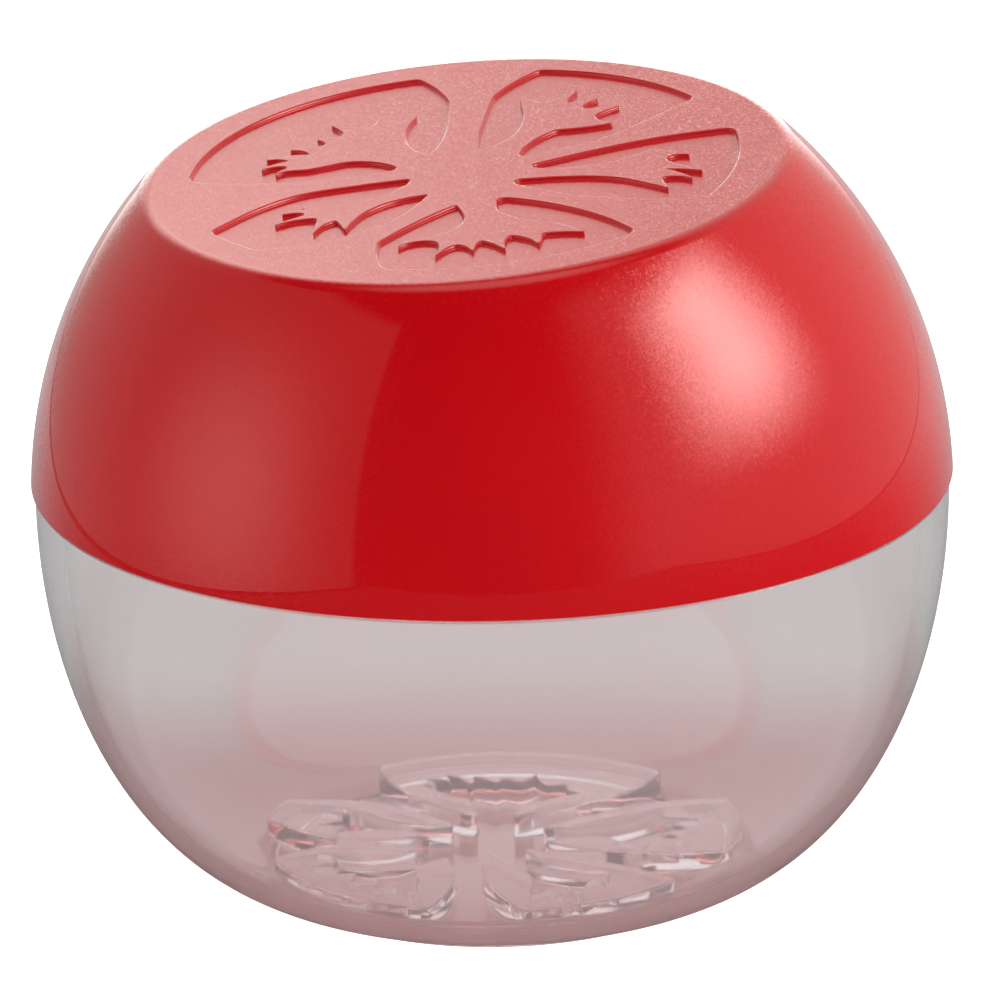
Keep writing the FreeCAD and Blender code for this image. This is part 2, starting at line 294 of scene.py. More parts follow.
@dataclass
class TomatoSlice:
    """The relief's outlines at a given size, turn and softness of corner.

    Args:
        radius: how far the outermost points lie from the middle.
        turn: degrees from the drawing to the moulding's axes, anticlockwise from above.
        spacing: distance between one outline point and the next.
        easing: how many rounds of averaging ease the corners.
        stroke_points: points first put on a stroke, or on each part of a curve.
    """

    radius: float
    turn: float
    spacing: float = 0.22 * MM
    easing: int = 6
    stroke_points: int = 24

    def outlines(self) -> list[np.ndarray]:
        """The five pockets as closed loops of evenly spaced points."""
        scale = self.radius / DRAWN_RADIUS
        c, s = math.cos(math.radians(self.turn)), math.sin(math.radians(self.turn))
        turned = np.array([[c, s], [-s, c]]) * scale
        loops = []
        for start, *strokes in POCKETS:
            points = [np.array(start, float)]
            for stroke in strokes:
                knots = np.array([points[-1], *stroke], float)
                if len(knots) == 2:
                    points.extend(line_points(*knots, self.stroke_points))
                elif len(knots) == 3:
                    points.extend(arc_points(*knots, 2 * self.stroke_points))
                else:
                    points.extend(curve_points(knots, self.stroke_points))
            loop = evenly_spaced(np.array(points[:-1]) @ turned, self.spacing)
            loops.append(evenly_spaced(relaxed(loop, self.easing), self.spacing))
        return loops


# ------------------------------------------------------------------------------------- meshes
class Surface:
    """Gathers points and faces, with one normal at each face corner, and makes a smooth mesh."""

    def __init__(self) -> None:
        """Starts with nothing in it."""
        self.points: list[np.ndarray] = []
        self.faces: list[np.ndarray] = []
        self.normals: list[np.ndarray] = []
        self.slots: list[int] = []
        self.slot = 0
        self.size = 0

    def add(self, points: np.ndarray) -> np.ndarray:
        """Adds points and returns their numbers."""
        points = np.atleast_2d(points)
        self.points.append(points)
        self.size += len(points)
        return np.arange(self.size - len(points), self.size)

    def all_points(self) -> np.ndarray:
        """Every point so far, as rows."""
        return np.vstack(self.points)

    def keep(self, faces: np.ndarray, normals: np.ndarray) -> None:
        """Stores faces for the finish in use.

        Args:
            faces: the numbers of each face's points, as rows.
            normals: one normal for each corner of each face.
        """
        self.faces.append(faces)
        self.normals.append(normals)
        self.slots.append(self.slot)

    def strip(self, a: np.ndarray, na: np.ndarray, b: np.ndarray, nb: np.ndarray) -> None:
        """Faces between two closed rings of as many points, given with their normals."""
        quads = lambda low, high: np.stack([low, np.roll(low, -1, 0), np.roll(high, -1, 0), high], axis=1)
        self.keep(quads(a, b), quads(na, nb))

    def fan(self, middle: np.ndarray, ring: np.ndarray, normal: np.ndarray) -> None:
        """Flat triangles between one point and a ring."""
        faces = np.stack([np.repeat(middle, len(ring)), ring, np.roll(ring, -1)], axis=1)
        self.keep(faces, np.tile(normal, (len(ring), 3, 1)))

    def fill(self, rings: Sequence[np.ndarray], plan: np.ndarray, keep: Callable, normal: Callable,
             loose: Iterable[int] = ()) -> None:
        """Triangles over a region seen in plan.

        Args:
            rings: the closed outlines in the region, as numbers of points.
            plan: where every point lies in plan, in millimetres.
            keep: says which of some places in plan are covered.
            normal: gives the unit normals at some points, by their numbers.
            loose: numbers of further points inside the region.
        """
        numbers = np.concatenate([*rings, np.array(list(loose), int)])
        edges, first = [], 0
        for ring in rings:
            edges += [(first + k, first + (k + 1) % len(ring)) for k in range(len(ring))]
            first += len(ring)
        flat = [Vector(plan[i]) for i in numbers]
        made, _, triangles, origin, *_ = delaunay_2d_cdt(flat, edges, [], 0, 1e-7, True)
        if len(made) != len(flat):
            log.warning("outlines cross: %d points became %d", len(flat), len(made))
        back = np.array([numbers[o[0]] if o else numbers[0] for o in origin])
        faces = back[np.array(triangles)]
        faces = faces[keep(plan[faces].mean(1))]
        self.keep(faces, normal(faces.ravel()).reshape(-1, 3, 3))

    def build(self, name: str) -> bpy.types.Object:
        """Makes the mesh object, with every face wound the way its normals point."""
        points = self.all_points()
        rows, corners = [], []
        for faces, normals in zip(self.faces, self.normals):
            p = points[faces]
            facing = np.cross(p[:, 2] - p[:, 0], p[:, -1] - p[:, 1])
            flip = np.einsum("ij,ij->i", facing, normals.sum(1)) < 0
            faces, normals = faces.copy(), normals.copy()
            faces[flip], normals[flip] = faces[flip, ::-1], normals[flip, ::-1]
            rows += faces.tolist()
            corners.append(normals.reshape(-1, 3))
        mesh = bpy.data.meshes.new(name)
        mesh.from_pydata(points.tolist(), [], rows)
        mesh.polygons.foreach_set("use_smooth", [True] * len(rows))
        slots = [slot for faces, slot in zip(self.faces, self.slots) for _ in faces]
        mesh.polygons.foreach_set("material_index", slots)
        mesh.normals_split_custom_set(np.vstack(corners).tolist())
        made = bpy.data.objects.new(name, mesh)
        bpy.context.scene.collection.objects.link(made)
        log.info("%s: %d points, %d faces", name, len(mesh.vertices), len(mesh.polygons))
        return made


@dataclass
class Run:
    """One smooth stretch of a profile in the (r, z) half plane, with its normals."""

    points: np.ndarray
    normals: np.ndarray


def straight(a: Pair, b: Pair, side: Pair, steps: int = 1) -> Run:
    """A straight stretch of profile that faces one way."""
    points = np.vstack([[a], line_points(np.array(a), np.array(b), steps)])
    return Run(points, np.tile(np.array(side, float), (steps + 1, 1)))


def rounding(centre: Pair, radius: float, start: float, end: float, steps: int = 6) -> Run:
    """A rounded stretch of profile, from one angle in degrees to another, facing away from its centre."""
    t = np.radians(np.linspace(start, end, steps + 1))
    out = np.column_stack([np.cos(t), np.sin(t)])
    return Run(np.array(centre) + radius * out, out)


def bezier(poles: Sequence[Sequence[float]], steps: int, side: int) -> Run:
    """A cubic Bezier stretch of profile, facing right of its travel for side 1 and left for -1."""
    p = np.array(poles, float)
    t = np.linspace(0, 1, steps + 1)[:, None]
    points = (1 - t) ** 3 * p[0] + 3 * (1 - t) ** 2 * t * p[1] + 3 * (1 - t) * t ** 2 * p[2] + t ** 3 * p[3]
    along = (1 - t) ** 2 * (p[1] - p[0]) + 2 * (1 - t) * t * (p[2] - p[1]) + t ** 2 * (p[3] - p[2])
    out = np.column_stack([along[:, 1], -along[:, 0]]) * side
    return Run(points, out / np.linalg.norm(out, axis=1)[:, None])


def directions() -> np.ndarray:
    """Unit vectors round the axis, one for each facet."""
    t = np.linspace(0, math.tau, AROUND, endpoint=False)
    return np.column_stack([np.cos(t), np.sin(t)])


def swept(pair: np.ndarray, around: np.ndarray) -> np.ndarray:
    """A place or normal of the profile, carried round the axis."""
    return np.column_stack([pair[0] * around, np.full(len(around), pair[1])])


def revolve(surface: Surface, runs: Sequence[Run], first: np.ndarray) -> np.ndarray:
    """Sweeps a chain of runs round the axis.

    Args:
        surface: takes the faces.
        runs: stretches that meet end to end.
        first: numbers of the ring that the chain starts on, which is there already.

    Returns:
        Numbers of the last ring.
    """
    around = directions()
    ring = first
    for run in runs:
        for k in range(1, len(run.points)):
            fresh = surface.add(swept(run.points[k], around))
            surface.strip(ring, swept(run.normals[k - 1], around), fresh, swept(run.normals[k], around))
            ring = fresh
    return ring


@dataclass
class Step:
    """One line of a relief's wall: how far outside the outline it runs, how high, and how it faces."""

    aside: float
    height: float
    out: float
    up: float
    anchor: Anchor


def wall_steps(lip: float, root: float, sunk: bool, turns: int = 4) -> list[Step]:
    """The wall of a relief, from the ground outside the outline to the plateau inside it.

    Args:
        lip: radius of the rounded edge at the wall's head.
        root: radius of the fillet at its foot.
        sunk: True for a pocket, whose plateau lies below the ground round it.
        turns: facets across each rounding.

    Returns:
        The wall's lines in order.
    """
    way = -1 if sunk else 1
    outer, inner = (lip, root) if sunk else (root, lip)
    quarter = np.linspace(0, math.pi / 2, turns + 1)
    low = [Step(outer - outer * math.sin(t), way * (outer - outer * math.cos(t)),
                way * math.sin(t), math.cos(t), Anchor.GROUND) for t in quarter]
    high = [Step(inner * math.cos(t) - inner, way * (inner * math.sin(t) - inner),
                 way * math.cos(t), math.sin(t), Anchor.PLATEAU) for t in quarter]
    return low + high


def raise_wall(surface: Surface, outline: np.ndarray, steps: Sequence[Step], ground: Callable,
               plateau: float, place: Callable, easing: int = 3) -> tuple[np.ndarray, np.ndarray]:
    """Builds the wall round one pocket or band.

    Args:
        surface: takes the faces.
        outline: the closed outline in plan.
        steps: the wall's lines, from the ground to the plateau.
        ground: gives the ground's height at places in plan.
        plateau: height of the flat inside.
        place: carries points or vectors of the relief's own frame to the moulding's.
        easing: how many rounds of averaging turn the wall's lines gently round a corner.

    Returns:
        Numbers of the ring on the ground and of the ring on the plateau.
    """
    out = loop_normals(outline)
    reach = max(abs(step.aside) for step in steps)
    shift = relaxed(out, easing) * (room_beside(outline, reach) / reach)[:, None]
    rings, normals = [], []
    for step in steps:
        plan = outline + shift * step.aside
        level = ground(outline) if step.anchor is Anchor.GROUND else np.full(len(outline), plateau)
        if step is steps[0]:
            level = ground(plan)
        rings.append(surface.add(place(np.column_stack([plan, level + step.height]), True)))
        normals.append(place(np.column_stack([out * step.out, np.full(len(out), step.up)]), False))
    for a, b, na, nb in zip(rings, rings[1:], normals, normals[1:]):
        surface.strip(a, na, b, nb)
    return rings[0], rings[-1]


def flat_face(surface: Surface, ring: np.ndarray, plan: np.ndarray, up: np.ndarray) -> None:
    """Closes a flat face within one ring of points."""
    surface.fill([ring], plan, lambda p: inside(p, plan[ring]), lambda i: np.tile(up, (len(i), 1)))


def lay_relief(surface: Surface, edge: np.ndarray, walls: Sequence[tuple[np.ndarray, np.ndarray]],
               plan: np.ndarray, facing: Callable, up: np.ndarray, loose: Iterable[int] = ()) -> None:
    """Fills the ground round a relief's walls, and the flat plateau within each.

    Args:
        surface: takes the faces.
        edge: numbers of the ring that the ground reaches out to.
        walls: each wall's ring on the ground and ring on the plateau.
        plan, loose: as in Surface.fill.
        facing: gives the ground's unit normals at some points, by their numbers.
        up: the plateaus' unit normal.
    """
    feet = [plan[foot] for foot, _ in walls]
    ground = lambda p: inside(p, plan[edge]) & ~np.any([inside(p, foot) for foot in feet], axis=0)
    surface.fill([edge, *(foot for foot, _ in walls)], plan, ground, facing, loose)
    for _, plateau in walls:
        flat_face(surface, plateau, plan, up)


# ------------------------------------------------------------------------------------ the lid
@dataclass
class Lid:
    """The opaque lid: a hollow spheroid cap with a slanted flat top that carries the sunk relief."""

    radius: float = 57.0 * MM
    crown: float = 59.0 * MM
    centre_drop: float = 2.5 * MM
    top_height: float = 40.2 * MM
    top_tilt: float = 5.5
    wall: float = 1.9 * MM
    top_wall: float = 2.4 * MM
    rim_wall: float = 2.1 * MM
    seat_depth: float = 6.0 * MM
    edge_radius: float = 2.8 * MM
    inner_edge_radius: float = 1.2 * MM
    rim_round: float = 0.4 * MM
    relief_border: float = 5.6 * MM
    relief_depth: float = 0.5 * MM
    relief_turn: float = 41.0
    lip: float = 0.34 * MM
    root: float = 0.14 * MM
    side_rings: int = 44
    edge_rings: int = 8
    lift_range: Pair = (0.2, 1.4)
    halvings: int = 50
    seam: float = field(default_factory=lambda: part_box("lid")[0].z)
    TOP_SLOT: ClassVar[int] = 1
    INSIDE_SLOT: ClassVar[int] = 2

    def __post_init__(self) -> None:
        """Works out the slanted top's plane."""
        tilt = math.radians(self.top_tilt)
        self.up = np.array([0, -math.sin(tilt), math.cos(tilt)])
        self.level = np.array([[1, 0, 0], [0, math.cos(tilt), math.sin(tilt)]])
        self.centre = np.array([0, 0, self.seam - self.centre_drop])
        self.top_distance = (self.top_height + self.centre_drop) * self.up[2]
        self.top_centre = self.centre + self.up * self.top_distance
        self.top_radius = self.radius * math.sqrt(1 - (self.top_distance / self.crown) ** 2)

    def spheroid(self, lift: np.ndarray, thinner: float) -> tuple[np.ndarray, np.ndarray]:
        """Points and normals of the spheroid made smaller by some thickness, at one lift each way round."""
        a, c = self.radius - thinner, self.crown - thinner
        around = directions()
        cos, sin = np.cos(lift)[:, None], np.sin(lift)[:, None]
        points = self.centre + np.hstack([a * cos * around, c * sin])
        normals = np.hstack([cos * around / a, sin / c])
        return points, normals / np.linalg.norm(normals, axis=1)[:, None]

    def blend(self, thinner: float, depth: float, ball: float) -> np.ndarray:
        """The lift, each way round, where a ball rolling under the top touches the spheroid.

        Args:
            thinner: how much smaller the spheroid is than the lid's outside.
            depth: how far the flat face lies under the top.
            ball: radius of the rounding.

        Returns:
            One lift for each direction.
        """
        low, high = (np.full(AROUND, lift) for lift in self.lift_range)
        for _ in range(self.halvings):
            middle = (low + high) / 2
            points, normals = self.spheroid(middle, thinner)
            gap = (points - ball * normals - self.top_centre) @ self.up + depth + ball
            low, high = np.where(gap < 0, middle, low), np.where(gap < 0, high, middle)
        return (low + high) / 2

    def shell(self, surface: Surface, ring: np.ndarray, start: float, thinner: float, depth: float,
              ball: float, side: int) -> np.ndarray:
        """One side of the wall, from a ring of points up over the rounding to the flat face.

        Args:
            surface: takes the faces.
            ring: numbers of the lowest ring, which is there already.
            start: the lift of that ring.
            thinner, depth, ball: as in blend.
            side: 1 for the outside and -1 for the inside.

        Returns:
            Numbers of the ring at the flat face's edge.
        """
        end = self.blend(thinner, depth, ball)
        _, before = self.spheroid(np.full(AROUND, start), thinner)
        for share in np.linspace(0, 1, self.side_rings + 1)[1:]:
            points, normals = self.spheroid(start + (end - start) * share, thinner)
            fresh = surface.add(points)
            surface.strip(ring, before * side, fresh, normals * side)
            ring, before = fresh, normals
        if side > 0:
            surface.slot = self.TOP_SLOT
        middle, first = points - ball * normals, normals
        between = np.arccos(np.clip(first @ self.up, -1, 1))[:, None]
        for share in np.linspace(0, 1, self.edge_rings + 1)[1:]:
            turned = np.sin((1 - share) * between) * first + np.sin(share * between) * self.up
            turned /= np.sin(between)
            fresh = surface.add(middle + ball * turned)
            surface.strip(ring, before * side, fresh, turned * side)
            ring, before = fresh, turned
        return ring

    def plan(self, points: np.ndarray) -> np.ndarray:
        """Where points lie on the slanted top, seen square on, in millimetres."""
        return (points - self.top_centre) @ self.level.T / MM

    def place(self, local: np.ndarray, is_point: bool) -> np.ndarray:
        """Carries the slanted top's own frame to the lid's."""
        carried = local[:, :2] @ self.level + local[:, 2:] * self.up
        return carried + self.top_centre if is_point else carried

    def top(self, surface: Surface, edge: np.ndarray) -> None:
        """The flat top within its rounded edge, with the slice's pockets sunk in it."""
        drawing = TomatoSlice(self.top_radius - self.relief_border, self.relief_turn)
        steps = wall_steps(self.lip, self.root, True)
        level = lambda plan: np.zeros(len(plan))
        walls = [raise_wall(surface, outline, steps, level, -self.relief_depth, self.place)
                 for outline in drawing.outlines()]
        facing = lambda i: np.tile(self.up, (len(i), 1))
        lay_relief(surface, edge, walls, self.plan(surface.all_points()), facing, self.up)

    def make(self) -> bpy.types.Object:
        """Builds the lid as one closed mesh."""
        surface = Surface()
        start = math.asin((self.centre_drop + self.rim_round) / self.crown)
        side_radius = self.radius * math.cos(start)
        inner_start = math.asin(self.centre_drop / (self.crown - self.wall))
        inner_rim = (self.radius - self.wall) * math.cos(inner_start)
        seat = self.radius * math.sqrt(1 - (self.centre_drop / self.crown) ** 2) - self.rim_wall
        rim = [
            rounding((side_radius - self.rim_round, self.seam + self.rim_round), self.rim_round, 0, -90),
            straight((side_radius - self.rim_round, self.seam), (inner_rim, self.seam), (0, -1), 2),
        ]
        first = surface.add(swept(rim[0].points[0], directions()))
        low = revolve(surface, rim, first)
        self.top(surface, self.shell(surface, first, start, 0, 0, self.edge_radius, 1))

        surface.slot = self.INSIDE_SLOT
        above = math.acos(seat / (self.radius - self.wall))
        seat_top = self.seam + self.seat_depth
        over = math.asin((seat_top - self.centre[2]) / (self.crown - self.wall))
        ledge = (self.radius - self.wall) * math.cos(over)
        crossing = self.centre[2] + (self.crown - self.wall) * math.sin(above)
        inner = [
            straight((inner_rim, self.seam), (seat, crossing), (-1, 0), 2),
            straight((seat, crossing), (seat, seat_top), (-1, 0), 2),
            straight((seat, seat_top), (ledge, seat_top), (0, -1)),
        ]
        high = revolve(surface, inner, low)
        under = self.shell(surface, high, over, self.wall, self.top_wall, self.inner_edge_radius, -1)
        flat_face(surface, under, self.plan(surface.all_points()), -self.up)
        return surface.build("red_lid")


# ----------------------------------------------------------------------------------- the bowl
@dataclass
class Bowl:
    """The clear bowl: foot ring, rounded side, shoulder, neck, and the slice raised on its floor."""

    rim_radius: float = 56.45 * MM
    upper_handle: Pair = (0.4 * MM, 27.7 * MM)
    lower_handle: Pair = (15.4 * MM, 2.8 * MM)
    handle_walls: Pair = (0.35, 1.45)       # how many walls the inside's lower handle lies out and up
    wall: float = 2.2 * MM
    floor: float = 2.0 * MM
    floor_radius: float = 26.9 * MM
    shoulder_round: float = 0.5 * MM
    foot_radius: float = 28.8 * MM
    foot_height: float = 1.0 * MM
    foot_step: float = 0.6 * MM
    foot_round: float = 0.3 * MM
    foot_ring: float = 3.0 * MM
    foot_recess: float = 0.4 * MM
    neck_radius: float = 54.6 * MM
    neck_wall: float = 1.5 * MM
    neck_round: float = 0.4 * MM
    relief_height: float = 3.3 * MM
    relief_overhang: float = 1.5 * MM
    relief_turn: float = -13.0
    relief_easing: int = 16
    lip: float = 0.3 * MM
    root: float = 0.25 * MM
    relief_zone: float = 34.0 * MM
    floor_blend: float = 3.0 * MM
    blend_samples: int = 25
    slope_reach: float = 0.05 * MM
    loose_spacing: float = 1.0 * MM
    loose_border: float = 0.5 * MM
    loose_clearance: float = 0.8 * MM
    loose_turn: int = 3
    outer_steps: int = 64
    inner_steps: int = 90
    seam: float = field(default_factory=lambda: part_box("lid")[0].z)
    top: float = field(default_factory=lambda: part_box("base_bowl")[1].z)

    def outside(self) -> list[Run]:
        """The profile from the foot ring's inner edge, up the outside, to the neck's inner edge."""
        foot, low = self.foot_radius, self.foot_height
        ring_inner = foot - self.foot_ring
        start = (foot + self.foot_step, low)
        rim = (self.rim_radius, self.seam - self.shoulder_round)
        side = [
            start,
            (start[0] + self.lower_handle[0], start[1] + self.lower_handle[1]),
            (rim[0] + self.upper_handle[0], self.seam - self.upper_handle[1]),
            rim,
        ]
        shoulder = self.rim_radius - self.shoulder_round
        neck, seam, top = self.neck_radius, self.seam, self.top
        neck_in, neck_head = neck - self.neck_wall, neck - self.neck_round
        return [
            straight((ring_inner, self.foot_recess), (ring_inner, 0), (-1, 0)),
            straight((ring_inner, 0), (foot - self.foot_round, 0), (0, -1), 2),
            rounding((foot - self.foot_round, self.foot_round), self.foot_round, -90, 0, 4),
            straight((foot, self.foot_round), (foot, low), (1, 0)),
            straight((foot, low), start, (0, -1)),
            bezier(side, self.outer_steps, 1),
            rounding((shoulder, seam - self.shoulder_round), self.shoulder_round, 0, 90),
            straight((shoulder, seam), (neck, seam), (0, 1)),
            straight((neck, seam), (neck, top - self.neck_round), (1, 0), 3),
            rounding((neck_head, top - self.neck_round), self.neck_round, 0, 90, 4),
            straight((neck_head, top), (neck_in, top), (0, 1)),
            straight((neck_in, top), (neck_in, seam), (-1, 0), 3),
        ]

    def inner_side(self) -> Run:
        """The inside's curve, from the neck down to the floor's edge."""
        neck_in = self.neck_radius - self.neck_wall
        outer_low = (self.foot_radius + self.foot_step + self.lower_handle[0],
                     self.foot_height + self.lower_handle[1])
        poles = [
            (neck_in, self.seam),
            (neck_in + self.upper_handle[0], self.seam - self.upper_handle[1] + self.wall),
            tuple(place + walls * self.wall for place, walls in zip(outer_low, self.handle_walls)),
            (self.floor_radius, self.floor),
        ]
        return bezier(poles, self.inner_steps, 1)

    def ground(self, plan: np.ndarray) -> np.ndarray:
        """Height of the inside's bottom at places in plan, eased where the floor meets the side."""
        return self.ground_and_slope(np.linalg.norm(plan, axis=1))[0]

    def ground_and_slope(self, r: np.ndarray) -> tuple[np.ndarray, np.ndarray]:
        """Height and slope of the inside's bottom at some radii."""
        side = self.inner_side().points[::-1]
        rise = lambda x: np.interp(x, side[:, 0], side[:, 1], left=self.floor)
        reach = np.linspace(-self.floor_blend, self.floor_blend, self.blend_samples)
        weight = 1 + np.cos(reach / self.floor_blend * math.pi)
        eased = lambda x: (rise(x[..., None] + reach) * weight).sum(-1) / weight.sum()
        h = self.slope_reach
        return eased(r), (eased(r + h) - eased(r - h)) / (2 * h)

    def floor_normals(self, points: np.ndarray) -> np.ndarray:
        """Unit normals of the inside's bottom at some points."""
        r = np.linalg.norm(points[:, :2], axis=1)
        slope = self.ground_and_slope(r)[1]
        out = points[:, :2] / np.maximum(r, 1e-9)[:, None]
        normals = np.column_stack([-slope[:, None] * out, np.ones(len(points))])
        return normals / np.linalg.norm(normals, axis=1)[:, None]

    def inside_side(self, surface: Surface, ring: np.ndarray) -> np.ndarray:
        """The inside from the neck down to the edge of the relief's zone."""
        run = self.inner_side()
        kept = run.points[:, 0] > self.relief_zone
        points = run.points[kept]
        points[:, 1] = np.where(
            points[:, 0] < self.relief_zone + 2 * self.floor_blend,
            self.ground_and_slope(points[:, 0])[0], points[:, 1])
        last = np.array([[self.relief_zone, self.ground_and_slope(np.array([self.relief_zone]))[0][0]]])
        points = np.vstack([points, last])
        along = np.gradient(points, axis=0)
        normals = np.column_stack([along[:, 1], -along[:, 0]])
        normals /= np.linalg.norm(normals, axis=1)[:, None]
        normals[0] = (-1, 0)
        return revolve(surface, [Run(points, normals)], ring)

    def relief(self, surface: Surface, edge: np.ndarray) -> None:
        """The floor within the relief's zone, with the slice's bands standing on it."""
        radius = self.foot_radius + self.relief_overhang
        outlines = TomatoSlice(radius, self.relief_turn, easing=self.relief_easing).outlines()
        steps = wall_steps(self.lip, self.root, False)
        place = lambda local, is_point: local
        head = self.floor + self.relief_height
        walls = [raise_wall(surface, outline, steps, self.ground, head, place) for outline in outlines]
        loose = self.loose_points(surface, np.vstack(outlines))
        points = surface.all_points()
        facing = lambda i: self.floor_normals(points[i])
        lay_relief(surface, edge, walls, points[:, :2] / MM, facing, np.array([0, 0, 1.0]), loose)

    def loose_points(self, surface: Surface, edges: np.ndarray) -> list[int]:
        """Adds points over the sloping part of the ground, so that its curve is kept.

        Args:
            surface: takes the points.
            edges: the outlines' points in plan, which the new ones keep clear of.

        Returns:
            The new points' numbers.
        """
        loose = []
        first, last = self.floor_radius - self.floor_blend, self.relief_zone - self.loose_border
        for r in np.arange(first, last, self.loose_spacing):
            plan = r * directions()[::self.loose_turn]
            gaps = np.array([np.min(np.linalg.norm(edges - p, axis=1)) for p in plan])
            plan = plan[gaps > self.loose_clearance]
            loose.extend(surface.add(np.column_stack([plan, self.ground(plan)])))
        return loose

    def make(self) -> bpy.types.Object:
        """Builds the bowl as one closed mesh."""
        surface = Surface()
        runs = self.outside()
        first = surface.add(swept(runs[0].points[0], directions()))
        middle = surface.add(np.array([[0, 0, self.foot_recess]]))
        surface.fan(middle, first, np.array([0, 0, -1.0]))
        neck = revolve(surface, runs, first)
        self.relief(surface, self.inside_side(surface, neck))
        return surface.build("clear_bowl")


# ------------------------------------------------------------------------------------ finishes
Socket = bpy.types.NodeSocket
Value = Socket | float | tuple


class Nodes:
    """Short ways to add nodes to a shader tree."""

    def __init__(self, tree: bpy.types.NodeTree) -> None:
        """Works on one tree."""
        self.tree = tree

    def give(self, node: bpy.types.Node, values: dict[str | int, Value]) -> None:
        """Feeds a node's inputs, by name or number, with links or plain values."""
        for name, value in values.items():
            self.feed(node.inputs[name], value)

    def feed(self, socket: Socket, value: Value) -> None:
        """Links a socket to another, or gives it a plain value; a colour may leave its alpha out."""
        if isinstance(value, Socket):
            self.tree.links.new(value, socket)
        elif socket.type == "RGBA" and len(value) == 3:
            socket.default_value = (*value, 1)
        else:
            socket.default_value = value

    def add(self, kind: str, values: dict[str | int, Value] | None = None, **settings) -> bpy.types.Node:
        """Adds a node with some settings, and feeds its inputs."""
        node = self.tree.nodes.new(kind)
        for name, setting in settings.items():
            setattr(node, name, setting)
        self.give(node, values or {})
        return node

    def math(self, operation: str, *values: Value) -> Socket:
        """A Math node's result."""
        return self.add("ShaderNodeMath", dict(enumerate(values)), operation=operation).outputs[0]

    def vector_math(self, operation: str, *values: Value) -> Socket:
        """A Vector Math node's vector."""
        return self.add("ShaderNodeVectorMath", dict(enumerate(values)), operation=operation).outputs[0]

    def noise(self, place: Socket, size: Socket, finer: float, detail: float, rough: float = 0.5) -> Socket:
        """Noise with patches of some size divided by finer."""
        scale = self.math("DIVIDE", finer, size)
        values = {"Vector": place, "Scale": scale, "Detail": detail, "Roughness": rough}
        return self.add("ShaderNodeTexNoise", values).outputs["Fac"]

    def ramp(self, value: Value, start: float, end: float, low: float = 0, high: float = 1) -> Socket:
        """Goes smoothly from low to high as value goes from start to end."""
        values = {"Value": value, "From Min": start, "From Max": end, "To Min": low, "To Max": high}
        return self.add("ShaderNodeMapRange", values, interpolation_type="SMOOTHSTEP").outputs["Result"]

    def mix(self, factor: Value, a: Value, b: Value) -> Socket:
        """A mix of two colours."""
        node = self.add("ShaderNodeMix", data_type="RGBA")
        for name, value in (("Factor_Float", factor), ("A_Color", a), ("B_Color", b)):
            self.feed(next(s for s in node.inputs if s.identifier == name), value)
        return next(s for s in node.outputs if s.identifier == "Result_Color")

    def mix_shaders(self, factor: Value, a: Socket, b: Socket) -> Socket:
        """A mix of two shaders."""
        return self.add("ShaderNodeMixShader", {0: factor, 1: a, 2: b}).outputs[0]

    def ray(self, kind: str) -> Socket:
        """One of the Light Path node's outputs."""
        return self.add("ShaderNodeLightPath").outputs[kind]

    def reflected(self) -> Socket:
        """1 for a ray that was mirrored last, and 0 for one that passed through something clear."""
        return self.math("GREATER_THAN", self.ray("Is Glossy Ray"), self.ray("Is Transmission Ray"))


def new_group(name: str, inputs: Sequence[str], outputs: dict[str, str]) -> tuple[Nodes, list, list]:
    """An empty shader node group.

    Args:
        name: what it is called.
        inputs: names of its inputs, which are all numbers.
        outputs: the kind of socket that each output is.

    Returns:
        Its nodes, the sockets that bring its inputs in, and the sockets that take its outputs.
    """
    group = bpy.data.node_groups.new(name, "ShaderNodeTree")
    for label in inputs:
        group.interface.new_socket(label, in_out="INPUT", socket_type="NodeSocketFloat")
    for label, kind in outputs.items():
        group.interface.new_socket(label, in_out="OUTPUT", socket_type=kind)
    n = Nodes(group)
    return n, n.add("NodeGroupInput").outputs, n.add("NodeGroupOutput").inputs


@cache
def moulding_group() -> bpy.types.NodeTree:
    """A group for moulded plastic: slow waves in the skin, faint blotches and fine handling marks.

    Returns:
        The group. Its Waves output is a height in metres, and the other two are masks about 0 to 1.
    """
    outputs = dict.fromkeys(("Waves", "Blotches", "Marks"), "NodeSocketFloat")
    n, given, results = new_group("moulded_skin", ("Wave Size", "Wave Height", "Mark Size"), outputs)
    place = n.add("ShaderNodeTexCoord").outputs["Object"]
    blotch_edge, mark_edge = (0.3, 0.7), (0.45, 0.75)
    waves = n.noise(place, given["Wave Size"], finer=1.0, detail=1.0)
    blotches = n.noise(place, given["Wave Size"], finer=0.6, detail=3.0)
    marks = n.noise(place, given["Mark Size"], finer=1.0, detail=4.0, rough=0.7)
    n.feed(results["Waves"], n.math("MULTIPLY", waves, given["Wave Height"]))
    n.feed(results["Blotches"], n.ramp(blotches, *blotch_edge))
    n.feed(results["Marks"], n.ramp(marks, *mark_edge))
    return n.tree


